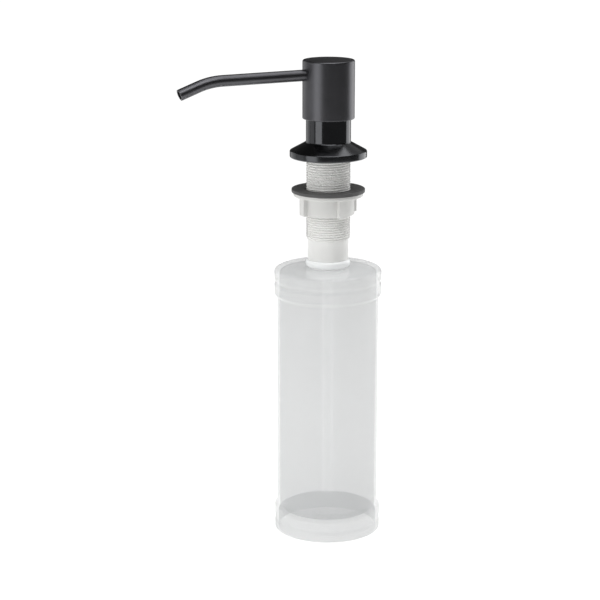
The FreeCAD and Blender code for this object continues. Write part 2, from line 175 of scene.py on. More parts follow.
# ---- Surfaces ---------------------------------------------------------------------------
def corner_arc(before, corner, after, radius):
    """Arc of a radius tangent to both sides of a corner.

    The centre lies on the corner's bisector. With a and b the unit vectors from the centre to
    the arc's ends and g the angle between them, the point at share s is the centre plus radius
    times (sin((1 - s) g) a + sin(s g) b) / sin g.
    """
    to_before = (before - corner) / np.linalg.norm(before - corner)
    to_after = (after - corner) / np.linalg.norm(after - corner)
    half = math.acos(np.clip(to_before @ to_after, -1, 1)) / 2
    bisector = (to_before + to_after) / np.linalg.norm(to_before + to_after)
    centre = corner + bisector * radius / math.sin(half)
    a = (corner + to_before * radius / math.tan(half) - centre) / radius
    b = (corner + to_after * radius / math.tan(half) - centre) / radius
    g = math.pi - 2 * half
    share = np.linspace(0, 1, ARC_STEPS + 1)[:, None]
    return centre + radius * (np.sin((1 - share) * g) * a + np.sin(share * g) * b) / math.sin(g)


def outline(*corners):
    """Outline of (radius, height) corners; a third value rounds that corner by that radius."""
    points = np.array([corner[:2] for corner in corners])
    pieces = []
    for index, corner in enumerate(corners):
        if len(corner) == 3:
            after = points[(index + 1) % len(points)]
            pieces.append(corner_arc(points[index - 1], points[index], after, corner[2]))
        else:
            pieces.append(points[index:index + 1])
    return np.concatenate(pieces)


def divided(points, radius, step):
    """An outline with extra points every step along its longest upright run at a radius."""
    ahead = np.roll(points, -1, axis=0)
    upright = (abs(points[:, 0] - radius) < TINY) & (abs(ahead[:, 0] - radius) < TINY)
    run = int(np.argmax(np.where(upright, abs(ahead[:, 1] - points[:, 1]), 0)))
    count = max(2, int(abs(ahead[run, 1] - points[run, 1]) / step))
    share = np.linspace(0, 1, count, endpoint=False)[1:, None]
    extra = points[run] * (1 - share) + ahead[run] * share
    return np.concatenate([points[:run + 1], extra, points[run + 1:]])


def turned(points, columns=COLUMNS, relief=None):
    """Surface of revolution: (r cos a, r sin a, z) for each outline point (r, z) and angle a.

    relief is a function of r, z and a that is added to the radius.
    """
    turn = np.linspace(0, FULL_TURN, columns, endpoint=False)[None, :]
    radius = points[:, :1] + 0 * turn
    height = points[:, 1:] + 0 * turn
    if relief:
        radius = radius + relief(radius, height, turn)
    return np.stack([radius * np.cos(turn), radius * np.sin(turn), height], -1)


def ring_of(inner, outer, bottom, top, edge):
    """Outline of a plain ring with slightly rounded edges."""
    return outline(
        (inner, bottom, edge), (outer, bottom, edge), (outer, top, edge), (inner, top, edge))


def grid_faces(rows, columns, close_rows):
    """Quads between neighbouring rows and columns. Columns close on themselves."""
    i = np.arange(rows if close_rows else rows - 1)[:, None]
    j = np.arange(columns)[None, :]
    next_i = (i + 1) % rows
    next_j = (j + 1) % columns
    corners = (
        i * columns + j, i * columns + next_j, next_i * columns + next_j, next_i * columns + j)
    return np.stack(np.broadcast_arrays(*corners), -1).reshape(-1, 4)


def surface_mesh(name, grid, close_rows=True, sharp_angle=SHARP_ANGLE):
    """Mesh of a grid of points. Where an end row shrinks to a point, its vertices are welded."""
    rows, columns = grid.shape[:2]
    mesh = bpy.data.meshes.new(name)
    mesh.from_pydata(grid.reshape(-1, 3), [], grid_faces(rows, columns, close_rows))
    if not close_rows:
        work = bmesh.new()
        work.from_mesh(mesh)
        bmesh.ops.remove_doubles(work, verts=work.verts, dist=WELD)
        work.to_mesh(mesh)
        work.free()
    mesh.update()
    mesh.shade_smooth()
    mesh.set_sharp_from_angle(angle=sharp_angle)
    return mesh


def add_object(name, mesh, material):
    """Object at the origin that shows a mesh in a material."""
    piece = bpy.data.objects.new(name, mesh)
    bpy.context.scene.collection.objects.link(piece)
    mesh.materials.clear()
    mesh.materials.append(material)
    return piece


def add_piece(name, mesh, material, body, material_slot, *nodes):
    """Piece that rides on a body and stands for CAD nodes."""
    piece = add_object(name, mesh, material)
    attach(piece, body)
    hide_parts(*nodes)
    return piece


def finish_node(node, material):
    """Give a CAD node that stays in view its material."""
    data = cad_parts[node].data
    data.materials.clear()
    data.materials.append(material)


def thread_relief(root, bottom, top, pitch, depth):
    """Right-hand thread on the wall at the root radius between two heights.

    The phase is height / pitch - angle / full turn. The ridge is depth (1 + cos(full turn times
    phase)) / 2, so it is full at a whole phase and nothing half-way. It fades out over one pitch
    at each end.
    """
    def relief(radius, height, turn):
        phase = height / pitch - turn / FULL_TURN
        ridge = (1 + np.cos(FULL_TURN * phase)) / 2
        fade = np.clip((height - bottom) / pitch, 0, 1) * np.clip((top - height) / pitch, 0, 1)
        on_wall = abs(radius - root) < TINY
        return np.where(on_wall, depth * ridge * fade, 0)
    return relief


# ---- Materials --------------------------------------------------------------------------
def add_node(tree, kind, inputs=None, **settings):
    """Add a node with its settings; each input is a value or another node's output.

    Inputs are named, or given by place where a node uses one name more than once.
    """
    node = tree.nodes.new(kind)
    for name, value in settings.items():
        setattr(node, name, value)
    for socket, value in (inputs or {}).items():
        if isinstance(value, bpy.types.NodeSocket):
            tree.links.new(value, node.inputs[socket])
        else:
            node.inputs[socket].default_value = value
    return node


def new_material(name):
    """Empty node material, its tree and its object coordinates."""
    material = bpy.data.materials.new(name)
    material.use_nodes = True
    material.node_tree.nodes.clear()
    place = add_node(material.node_tree, "ShaderNodeTexCoord").outputs["Object"]
    return material, material.node_tree, place


def noise_at(tree, place, grain, stretch=(1, 1, 1)):
    """Noise whose features are a grain size across, and longer where the stretch is below 1."""
    mapped = add_node(tree, "ShaderNodeMapping", {"Vector": place, "Scale": stretch})
    noise = add_node(
        tree, "ShaderNodeTexNoise",
        {"Vector": mapped.outputs["Vector"], "Scale": 1 / grain, "Detail": 2.0})
    return noise.outputs["Fac"]


def between(tree, noise, low_value, high_value):
    """Let a noise run between two values."""
    mapped = add_node(
        tree, "ShaderNodeMapRange",
        {"Value": noise, "From Min": NOISE_LOW, "From Max": NOISE_HIGH, "To Min": low_value,
         "To Max": high_value})
    return mapped.outputs["Result"]


def shaded(tree, noise, base, spread):
    """Colour that wanders about a base colour by a share of its brightness."""
    ramp = add_node(tree, "ShaderNodeValToRGB", {"Fac": noise})
    darker, lighter = ramp.color_ramp.elements
    darker.position = NOISE_LOW
    darker.color = (*(np.array(base) * (1 - spread)).tolist(), 1)
    lighter.position = NOISE_HIGH
    lighter.color = (*np.clip(np.array(base) * (1 + spread), 0, 1).tolist(), 1)
    return ramp.outputs["Color"]


def close_material(tree, inputs):
    """Principled surface with the given inputs, joined to the output."""
    shader = add_node(tree, "ShaderNodeBsdfPrincipled", inputs)
    add_node(tree, "ShaderNodeOutputMaterial", {"Surface": shader.outputs["BSDF"]})


def satin_gunmetal(name, base, stretch):
    """Dark satin coating on turned or drawn brass.

    Fine marks of the lathe or the die run along the axes where the stretch is small. They are
    0.25 mm apart, coarser than real ones, so that they show. They spread the reflections into
    soft bands, and the coat wanders slightly in tone.
    """
    material, tree, place = new_material(name)
    marks = noise_at(tree, place, 0.25 * MM, stretch)
    cloud = noise_at(tree, place, 12 * MM)
    relief = add_node(
        tree, "ShaderNodeBump", {"Height": marks, "Distance": 0.0015 * MM, "Strength": 0.5})
    close_material(tree, {
        "Base Color": shaded(tree, cloud, base, 0.06),
        "Metallic": 1.0,
        "Roughness": between(tree, marks, 0.34, 0.38),
        "Normal": relief.outputs["Normal"],
    })
    return material


def black_nickel(base):
    """Polished black nickel plating on brass.

    Dark and smooth, with sharp reflections on the sleeve. The cone and the flange are buffed
    less finely, so theirs are soft. A faint haze, in patches 6 mm across, varies both.
    """
    cone_end, sleeve_start = 9 * MM, 11 * MM
    material, tree, place = new_material("black_nickel_plating")
    haze = noise_at(tree, place, 6 * MM)
    height = add_node(tree, "ShaderNodeSeparateXYZ", {"Vector": place}).outputs["Z"]
    buffed = add_node(
        tree, "ShaderNodeMapRange",
        {"Value": height, "From Min": cone_end, "From Max": sleeve_start, "To Min": 0.18,
         "To Max": 0.09})
    roughness = add_node(
        tree, "ShaderNodeMath",
        {0: buffed.outputs["Result"], 1: between(tree, haze, 0.0, 0.04)}, operation="ADD")
    close_material(tree, {
        "Base Color": shaded(tree, haze, base, 0.05),
        "Metallic": 1.0,
        "Roughness": roughness.outputs["Value"],
    })
    return material


def moulded_plastic(name, base, roughness):
    """Injection-moulded polypropylene.

    An even satin white. A grain of 0.4 mm and a slow unevenness in tone, 15 mm across, keep
    it from looking like paint.
    """
    material, tree, place = new_material(name)
    grain = noise_at(tree, place, 0.4 * MM)
    cloud = noise_at(tree, place, 15 * MM)
    relief = add_node(
        tree, "ShaderNodeBump", {"Height": grain, "Distance": 0.002 * MM, "Strength": 0.3})
    close_material(tree, {
        "Base Color": shaded(tree, cloud, base, 0.02),
        "Roughness": between(tree, grain, roughness - 0.04, roughness + 0.04),
        "IOR": 1.49,
        "Normal": relief.outputs["Normal"],
    })
    return material


def clear_wall(name, base, thick_colour, painted_edge_shade, alphas, thick_from, painted_glow):
    """Translucent polyethylene wall.

    Light passes straight through where the wall is seen square on. Seen along the wall there
    is more plastic in the way, so it turns denser and whiter. At the very edge of an upright
    wall the colour is mixed towards the edge colour, a painted shade that darkens its
    silhouette. alphas are the densities for the two views. Over 1 mm above the height
    thick_from the wall grows thick and reads as white. The blown wall is slightly wavy, which
    bends its highlights. The glow is painted light: an even emission that stands in for light
    that the milky plastic carries inside itself.
    """
    thick_alpha = 0.92
    material, tree, place = new_material(name)
    facing = add_node(tree, "ShaderNodeLayerWeight", {"Blend": 0.5}).outputs["Facing"]
    dense = add_node(tree, "ShaderNodeMath", {0: facing, 1: 4.5}, operation="POWER").outputs[0]
    grazing = add_node(tree, "ShaderNodeMath", {0: facing, 1: 5.0}, operation="POWER").outputs[0]
    normal = add_node(tree, "ShaderNodeTexCoord").outputs["Normal"]
    tilt = add_node(tree, "ShaderNodeSeparateXYZ", {"Vector": normal}).outputs["Z"]
    level = add_node(tree, "ShaderNodeMath", {0: tilt}, operation="ABSOLUTE").outputs[0]
    # Painted shade: where an upright wall is seen edge on, it takes the edge colour.
    edge = add_node(
        tree, "ShaderNodeMapRange",
        {"Value": level, "From Min": 0.2, "From Max": 0.7, "To Min": grazing, "To Max": 0.0})
    height = add_node(tree, "ShaderNodeSeparateXYZ", {"Vector": place}).outputs["Z"]
    thicker = {"Value": height, "From Min": thick_from, "From Max": thick_from + 1 * MM}
    square_on = add_node(
        tree, "ShaderNodeMapRange", {**thicker, "To Min": alphas[0], "To Max": thick_alpha})
    alpha = add_node(
        tree, "ShaderNodeMapRange",
        {"Value": dense, "To Min": square_on.outputs["Result"], "To Max": alphas[1]})
    thick = add_node(tree, "ShaderNodeMapRange", {**thicker, "To Min": dense, "To Max": 1.0})
    cloud = noise_at(tree, place, 20 * MM)
    whiter = add_node(
        tree, "ShaderNodeMix",
        {"Factor": thick.outputs["Result"], MIX_FIRST: shaded(tree, cloud, base, 0.01),
         MIX_SECOND: srgb(thick_colour)}, data_type="RGBA")
    # The colour with the painted edge shade mixed in.
    with_painted_edge = add_node(
        tree, "ShaderNodeMix",
        {"Factor": edge.outputs["Result"], MIX_FIRST: whiter.outputs[MIX_RESULT],
         MIX_SECOND: srgb(painted_edge_shade)}, data_type="RGBA")
    wave = noise_at(tree, place, 25 * MM, (1, 1, 0.4))
    relief = add_node(
        tree, "ShaderNodeBump", {"Height": wave, "Distance": 0.05 * MM, "Strength": 0.08})
    close_material(tree, {
        "Base Color": with_painted_edge.outputs[MIX_RESULT],
        "Roughness": between(tree, cloud, 0.18, 0.22),
        "IOR": 1.51,
        "Alpha": alpha.outputs["Result"],
        # Painted light: the wall glows evenly, as if it were lit from within.
        "Emission Color": WHITE,
        "Emission Strength": painted_glow,
        "Normal": relief.outputs["Normal"],
    })
    return material


def rubber(name, base, roughness):
    """Moulded rubber.

    Dull and dark, with a bloom that varies over 5 mm and a grain of 0.3 mm.
    """
    material, tree, place = new_material(name)
    grain = noise_at(tree, place, 0.3 * MM)
    bloom = noise_at(tree, place, 5 * MM)
    relief = add_node(
        tree, "ShaderNodeBump", {"Height": grain, "Distance": 0.03 * MM, "Strength": 0.5})
    close_material(tree, {
        "Base Color": shaded(tree, bloom, base, 0.12),
        "Roughness": between(tree, bloom, roughness - 0.06, roughness + 0.06),
        "IOR": 1.52,
        "Normal": relief.outputs["Normal"],
    })
    return material


def bright_steel(name, base, roughness):
    """Stainless steel wire or balls: bright, with drawing marks 0.2 mm apart."""
    material, tree, place = new_material(name)
    marks = noise_at(tree, place, 0.2 * MM)
    close_material(tree, {
        "Base Color": shaded(tree, marks, base, 0.04),
        "Metallic": 1.0,
        "Roughness": between(tree, marks, roughness - 0.03, roughness + 0.03),
    })
    return material


def once(name, make, *values):
    """A material that several pieces share, made the first time it is asked for."""
    return bpy.data.materials.get(name) or make(*values)


def pump_material(finishes):
    """Material of the moulded pump pieces."""
    name = "pump_polypropylene"
    return once(name, moulded_plastic, name, finishes.pump_plastic, 0.38)


def seal_material(finishes):
    """Material of the gaskets and seals."""
    name = "black_nitrile_rubber"
    return once(name, rubber, name, finishes.seal_rubber, 0.55)


def steel_material(finishes):
    """Material of the spring and the valve balls."""
    name = "stainless_steel"
    return once(name, bright_steel, name, finishes.steel, 0.2)


# ---- Pieces -----------------------------------------------------------------------------
class SpoutLine:
    """Centreline of the spout: a straight run, a tangent bend and a straight end.

    At distance s along it the fall angle t is the first fall until the bend, then grows by
    s / bend radius up to the last fall. The point is the sum of the straight run, the arc
    R (sin t - sin first, cos t - cos first) and the end run, in (reach, height).
    """

    start_reach = 7 * MM           # the spout's inner end
    bend_reach = 67.7 * MM         # where the bend starts
    tip_reach = 94.4 * MM
    below_core_top = 5.55 * MM     # the line's height, carried back to the head's axis

    def __init__(self, sizes):
        self.first = sizes.spout_droop
        self.last = sizes.tip_droop
        self.bend_r = sizes.spout_bend_r
        self.run = (self.bend_reach - self.start_reach) / math.cos(self.first)
        self.bend = self.bend_r * (self.last - self.first)
        bend_end = self.bend_reach + self.bend_r * (math.sin(self.last) - math.sin(self.first))
        self.length = self.run + self.bend + (self.tip_reach - bend_end) / math.cos(self.last)
        fall = self.start_reach * math.tan(self.first)
        self.start = (self.start_reach, high("head_core") - self.below_core_top - fall)

    def at(self, along):
        """Reach, height and fall angle at distances along the line."""
        on_run = np.minimum(along, self.run)
        fall = self.first + np.clip(along - self.run, 0, self.bend) / self.bend_r
        past = np.maximum(along - self.run - self.bend, 0)
        reach = (self.start[0] + on_run * math.cos(self.first)
                 + self.bend_r * (np.sin(fall) - math.sin(self.first))
                 + past * math.cos(self.last))
        height = (self.start[1] - on_run * math.sin(self.first)
                  + self.bend_r * (np.cos(fall) - math.cos(self.first))
                  - past * math.sin(self.last))
        return reach, height, fall

    def tube(self, points, columns):
        """An outline of (radius, distance) carried along the line.

        Each point is the line's point plus radius times (cos a up + sin a across), where up
        is square to the line in its upright plane.
        """
        turn = np.linspace(0, FULL_TURN, columns, endpoint=False)[None, :]
        radius = points[:, :1]
        reach, height, fall = self.at(points[:, 1:])
        out = reach + radius * np.cos(turn) * np.sin(fall)
        up = height + radius * np.cos(turn) * np.cos(fall)
        return np.stack([-out, radius * np.sin(turn), up], -1)


class DISPENSER_OT_head(bpy.types.Operator):
    """Turned head with its bent spout"""

    bl_idname = "dispenser.head"
    bl_label = "Head and spout"

    head_row = 0.8 * MM       # height of a row of faces on the head's wall
    spout_row = 1.5 * MM
    spout_columns = 96
    hole_gap = 0.03 * MM      # room round the spout in its hole
    hole_from = 3 * MM        # ends of the hole, along the spout's line
    hole_to = 12 * MM

    def execute(self, context):
        sizes = context.scene.dispenser_sizes
        finishes = context.scene.dispenser_finishes
        line = SpoutLine(sizes)
        head = self.turn_head(sizes, finishes)
        self.drill(head, line, sizes.spout_r)
        self.bend_spout(sizes, finishes, line)
        finish_node("head_core", pump_material(finishes))
        finish_node("spout_seal", seal_material(finishes))
        return {"FINISHED"}

    def turn_head(self, sizes, finishes):
        """Cap closed on top: a surface of revolution from the ceiling's centre to the top's."""
        foot, top, ceiling = low("head_cap"), high("head_cap"), high("head_core")
        bore = sizes.head_r - sizes.head_wall
        points = outline(
            (0, ceiling), (bore, ceiling), (bore, foot, sizes.edge_round / 2),
            (sizes.head_r, foot, sizes.edge_round), (sizes.head_r, top, sizes.head_top_round),
            (0, top))
        points = divided(points, sizes.head_r, self.head_row)
        mesh = surface_mesh("turned_head", turned(points, FINE_COLUMNS), close_rows=False)
        coat = satin_gunmetal("satin_gunmetal_turned", finishes.gunmetal, (0.02, 0.02, 1))
        return add_piece("turned_head", mesh, coat, "head", "satin_gunmetal", "head_cap")

    def drill(self, head, line, radius):
        """Cut the spout's hole through one side of the head."""
        radius = radius + self.hole_gap
        points = outline(
            (0, self.hole_from), (radius, self.hole_from), (radius, self.hole_to),
            (0, self.hole_to))
        grid = line.tube(points, self.spout_columns)
        mesh = surface_mesh("spout_hole", grid, close_rows=False)
        cutter = add_object("spout_hole", mesh, head.data.materials[0])
        cut = head.modifiers.new("hole", "BOOLEAN")
        cut.object = cutter
        cut.solver = "EXACT"
        result = head.evaluated_get(bpy.context.evaluated_depsgraph_get())
        drilled = bpy.data.meshes.new_from_object(result)
        head.modifiers.clear()
        head.data = drilled
        drilled.set_sharp_from_angle(angle=SHARP_ANGLE)
        bpy.data.objects.remove(cutter)

    def bend_spout(self, sizes, finishes, line):
        """Tube: its wall's outline carried along the spout's line."""
        bore = sizes.spout_r - sizes.spout_wall
        points = ring_of(bore, sizes.spout_r, 0, line.length, THIN_EDGE)
        points = divided(points, sizes.spout_r, self.spout_row)
        points = divided(points, bore, self.spout_row)
        mesh = surface_mesh("bent_spout", line.tube(points, self.spout_columns))
        coat = satin_gunmetal("satin_gunmetal_drawn", finishes.gunmetal, (0.05, 1, 1))
        add_piece("bent_spout", mesh, coat, "head", "satin_gunmetal", "spout_tube")


class DISPENSER_OT_collar(bpy.types.Operator):
    """Polished collar with its flange gasket"""

    bl_idname = "dispenser.collar"
    bl_label = "Collar"

    rim_h = 3.99 * MM         # height at which the cone meets the rim
    cone_top = 9.45 * MM
    sleeve_r = 13.65 * MM
    bore_r = 10.18 * MM
    socket_r = 13.6 * MM
    recess_r = 21.5 * MM
    gasket_bore = 14.0 * MM
    sleeve_edge = 0.3 * MM

    def execute(self, context):
        sizes = context.scene.dispenser_sizes
        finishes = context.scene.dispenser_finishes
        rim_r, bottom, top = high("collar", X), low("collar"), high("collar")
        recess_top = high("flange_gasket")
        socket_top = high("shank")
        points = outline(
            (self.socket_r, recess_top), (self.recess_r, recess_top), (self.recess_r, bottom),
            (rim_r, bottom, sizes.rim_round), (rim_r, self.rim_h, sizes.rim_round),
            (self.sleeve_r, self.cone_top, sizes.cone_fillet),
            (self.sleeve_r, top, self.sleeve_edge), (self.bore_r, top),
            (self.bore_r, socket_top), (self.socket_r, socket_top))
        mesh = surface_mesh("polished_collar", turned(points, FINE_COLUMNS))
        add_piece("polished_collar", mesh, black_nickel(finishes.black_nickel), "mounting",
                  "black_nickel", "collar")
        points = ring_of(
            self.gasket_bore, high("flange_gasket", X), bottom, recess_top, THIN_EDGE)
        mesh = surface_mesh("flange_seal", turned(points))
        add_piece("flange_seal", mesh, seal_material(finishes), "mounting", "seal_rubber",
                  "flange_gasket")
        return {"FINISHED"}


class DISPENSER_OT_shank(bpy.types.Operator):
    """Threaded shank with its plain skirt"""

    bl_idname = "dispenser.shank"
    bl_label = "Threaded shank"

    bore_r = 9.5 * MM
    skirt_r = 12.4 * MM
    skirt_l = 12.1 * MM
    neck_socket_r = 10.95 * MM
    socket_edge = 0.2 * MM
    skirt_edge = 0.35 * MM
    step_h = 0.3 * MM         # slope between the skirt and the thread's root
    top_edge = 0.3 * MM
    thread_start = 0.2 * MM   # above the skirt
    rows_per_pitch = 24
    thread_columns = 96

    def execute(self, context):
        sizes = context.scene.dispenser_sizes
        finishes = context.scene.dispenser_finishes
        bottom, top, socket_top = low("shank"), high("shank"), high("bottle_seal")
        root = sizes.shank_r - sizes.thread_depth
        skirt_top = bottom + self.skirt_l
        points = outline(
            (self.bore_r, socket_top), (self.neck_socket_r, socket_top),
            (self.neck_socket_r, bottom, self.socket_edge),
            (self.skirt_r, bottom, self.skirt_edge), (self.skirt_r, skirt_top),
            (root, skirt_top + self.step_h), (root, top, self.top_edge), (self.bore_r, top))
        points = divided(points, root, sizes.shank_pitch / self.rows_per_pitch)
        relief = thread_relief(
            root, skirt_top + self.thread_start, top, sizes.shank_pitch, sizes.thread_depth)
        grid = turned(points, self.thread_columns, relief)
        mesh = surface_mesh("threaded_shank", grid, sharp_angle=THREAD_SHARP_ANGLE)
        plastic = moulded_plastic("white_polypropylene_shank", finishes.white_plastic, 0.4)
        add_piece("threaded_shank", mesh, plastic, "mounting", "white_plastic", "shank")
        return {"FINISHED"}


class DISPENSER_OT_clamp(bpy.types.Operator):
    """Rubber washer and lugged nut that clamp the worktop"""

    bl_idname = "dispenser.clamp"
    bl_label = "Washer and nut"

    lug_count = 4
    lug_turn = math.radians(6.5)
    lug_reach = 2.5 * MM
    hub_r = 16.0 * MM
    bore_r = 13.6 * MM
    flange_r = 21.2 * MM
    flange_h = 2.4 * MM
    smooth = 0.7 * MM         # how far the lugs' corners and roots are eased
    foot_round = 0.6 * MM
    root_fillet = 0.5 * MM
    flange_under_edge = 0.5 * MM
    flange_top_edge = 0.25 * MM
    least_sine = 1e-4         # keeps a lug's side finite at its middle
    bore_edge = 0.4 * MM
    washer_bore = 13.8 * MM
    washer_edge = 0.4 * MM

    def execute(self, context):
        sizes = context.scene.dispenser_sizes
        finishes = context.scene.dispenser_finishes
        points = ring_of(
            self.washer_bore, sizes.washer_r, low("deck_washer"), high("deck_washer"),
            self.washer_edge)
        mesh = surface_mesh("rubber_washer", turned(points))
        add_piece("rubber_washer", mesh, rubber("grey_rubber", finishes.grey_rubber, 0.6),
                  "washer", "grey_rubber", "deck_washer")
        mesh = surface_mesh("lugged_nut", self.nut_grid(sizes))
        plastic = moulded_plastic("white_polypropylene_nut", finishes.nut_plastic, 0.42)
        add_piece("lugged_nut", mesh, plastic, "nut", "white_plastic", "mounting_nut")
        return {"FINISHED"}

    def columns(self):
        """Angles round the nut, closer together where the lugs' sides stand.

        In degrees from a lug's middle, the sides stand between 7.5 and 11. A quarter is that
        half and its mirror image about 45, and the nut is four quarters.
        """
        half = np.concatenate([
            np.linspace(0, 7.5, 12, endpoint=False), np.linspace(7.5, 11, 26, endpoint=False),
            np.linspace(11, 45, 18, endpoint=False)])
        quarter = np.concatenate([half, 90 - half[:0:-1], [45.0]])
        quarter.sort()
        turns = np.arange(self.lug_count)[:, None] * 90 + quarter[None, :]
        return np.radians(turns.ravel())[None, :]

    def hub_outline(self, turn, inset, half_w):
        """Radius of the hub with its lugs, all faces moved in by an inset.

        Within a quarter the angle d runs from a lug's middle. The lug is the smaller of
        half_w / sin d, its side, and reach / cos d, its tip; the hub is the larger of that and
        the round wall. The larger and the smaller are eased over a short distance.
        """
        d = abs((turn + math.pi / 4) % (math.pi / 2) - math.pi / 4)
        side = (half_w - inset) / np.maximum(np.sin(d), self.least_sine)
        tip = (self.hub_r + self.lug_reach - inset) / np.cos(d)
        lug = np.minimum(side, tip)
        lug = lug - np.maximum(self.smooth - abs(side - tip), 0) ** 2 / (4 * self.smooth)
        wall = self.hub_r - inset + 0 * lug
        eased = np.maximum(self.smooth - abs(lug - wall), 0) ** 2 / (4 * self.smooth)
        return np.maximum(lug, wall) + eased

    def nut_grid(self, sizes):
        """Rows of radius and height from the bore's foot, round the outside and back."""
        turn = self.columns()
        half_w = sizes.lug_w / 2
        bottom, top = low("mounting_nut"), high("mounting_nut")
        under = top - self.flange_h
        share = np.linspace(0, math.pi / 2, ARC_STEPS + 1)[:, None]
        bore_foot = [self.bore_r + 0 * turn, self.bore_r + self.bore_edge + 0 * turn]
        foot = self.hub_outline(turn, self.foot_round * (1 - np.sin(share)), half_w)
        wall = self.hub_outline(turn, -self.root_fillet * (1 - np.cos(share)), half_w)
        flange = outline(
            (self.bore_r, under), (self.flange_r, under, self.flange_under_edge),
            (self.flange_r, top, self.flange_top_edge), (self.bore_r, top))[1:]
        radius = np.concatenate([*bore_foot, foot, wall, flange[:, :1] + 0 * turn])
        height = np.concatenate([
            [[bottom + self.bore_edge]], [[bottom]],
            bottom + self.foot_round * (1 - np.cos(share)),
            under - self.root_fillet * (1 - np.sin(share)),
            flange[:, 1:]]) + 0 * turn
        turn = turn + math.pi + self.lug_turn
        return np.stack([radius * np.cos(turn), radius * np.sin(turn), height], -1)


class DISPENSER_OT_bottle(bpy.types.Operator):
    """Blown bottle with its neck seal"""

    bl_idname = "dispenser.bottle"
    bl_label = "Bottle"

    wall = 1.4 * MM
    neck_root = 10.25 * MM
    neck_thread = 0.6 * MM
    neck_bore = 8.8 * MM
    bead_r = 13.9 * MM
    bead_h = 4.2 * MM
    neck_foot_r = 11.35 * MM
    neck_foot_h = 1.6 * MM
    shoulder_round = 2.3 * MM
    upper_band_h = 15.6 * MM
    upper_taper_h = 1.9 * MM
    base_band_h = 14.9 * MM
    base_taper_h = 3.4 * MM
    upper_groove = 8.2 * MM   # below the shoulder
    base_groove = 6.8 * MM    # above the base
    groove_half_w = 1.9 * MM
    groove_depth = 1.1 * MM
    floor_rise = 13.2 * MM
    floor_t = 1.5 * MM
    skirt_wall = 2.5 * MM
    floor_outer_round = 1.0 * MM
    floor_inner_round = 3.0 * MM
    ceiling_round = 1.6 * MM
    foot_inner_round = 0.4 * MM
    foot_outer_round = 1.2 * MM
    taper_round = 1.4 * MM
    body_top_round = 0.5 * MM
    upper_band_round = 0.9 * MM
    groove_lip = 0.5 * MM
    groove_round = 0.9 * MM
    bead_round = 1.5 * MM
    bead_root = 0.2 * MM
    neck_foot_round = 1.0 * MM
    neck_bore_round = 0.5 * MM
    neck_root_round = 0.3 * MM
    rim_round = 0.35 * MM
    thread_start = 0.4 * MM   # above the bead
    thread_stop = 0.6 * MM    # below the rim
    white_from = 0.3 * MM     # above the shoulder, where the wall grows thick
    rows_per_pitch = 14

    def groove(self, band_r, height):
        """Three corners of a rounded groove round a band, from below."""
        return (
            (band_r, height - self.groove_half_w, self.groove_lip),
            (band_r - self.groove_depth, height, self.groove_round),
            (band_r, height + self.groove_half_w, self.groove_lip))

    def execute(self, context):
        sizes = context.scene.dispenser_sizes
        finishes = context.scene.dispenser_finishes
        base, rim = low("bottle"), high("bottle")
        band_r, body_r = sizes.band_r, sizes.band_r - sizes.body_step
        skirt = low("shank")
        bead = skirt - self.bead_h
        shoulder = bead - self.neck_foot_h
        floor = base + self.floor_rise
        ceiling = shoulder - self.wall
        inner_r = body_r - self.wall
        foot_r = band_r - self.skirt_wall
        taper_top = base + self.base_band_h + self.base_taper_h
        upper_foot = shoulder - self.upper_band_h
        points = outline(
            (0, floor - self.floor_t), (foot_r, floor - self.floor_t, self.floor_outer_round),
            (foot_r, base, self.foot_inner_round), (band_r, base, self.foot_outer_round),
            *self.groove(band_r, base + self.base_groove),
            (band_r, base + self.base_band_h, self.taper_round),
            (body_r, taper_top, self.taper_round),
            (body_r, upper_foot - self.upper_taper_h, self.body_top_round),
            (band_r, upper_foot, self.upper_band_round),
            *self.groove(band_r, shoulder - self.upper_groove),
            (band_r, shoulder, self.shoulder_round),
            (self.neck_foot_r, shoulder, self.neck_foot_round),
            (self.neck_foot_r, bead, self.bead_root), (self.bead_r, bead, self.bead_round),
            (self.bead_r, skirt, self.bead_round), (self.neck_root, skirt, self.neck_root_round),
            (self.neck_root, rim, self.rim_round), (self.neck_bore, rim, self.rim_round),
            (self.neck_bore, ceiling, self.neck_bore_round),
            (inner_r, ceiling, self.ceiling_round), (inner_r, floor, self.floor_inner_round),
            (0, floor))
        points = divided(points, self.neck_root, sizes.neck_pitch / self.rows_per_pitch)
        relief = thread_relief(
            self.neck_root, skirt + self.thread_start, rim - self.thread_stop,
            sizes.neck_pitch, self.neck_thread)
        grid = turned(points, FINE_COLUMNS, relief)
        mesh = surface_mesh("blown_bottle", grid, close_rows=False)
        # The bottle's glow is painted light, and its grey edge colour is painted shade along its
        # sides.
        clear = clear_wall(
            "translucent_polyethylene", finishes.bottle_plastic, thick_colour="#e6e8e8",
            painted_edge_shade="#5f6467", alphas=(0.29, 0.95), thick_from=shoulder + self.white_from,
            painted_glow=0.13)
        add_piece("blown_bottle", mesh, clear, "bottle", "bottle_plastic", "bottle")
        points = ring_of(
            self.neck_bore, high("bottle_seal", X), low("bottle_seal"), high("bottle_seal"),
            THIN_EDGE)
        mesh = surface_mesh("neck_seal", turned(points))
        add_piece("neck_seal", mesh, seal_material(finishes), "seal", "seal_rubber", "bottle_seal")
        return {"FINISHED"}


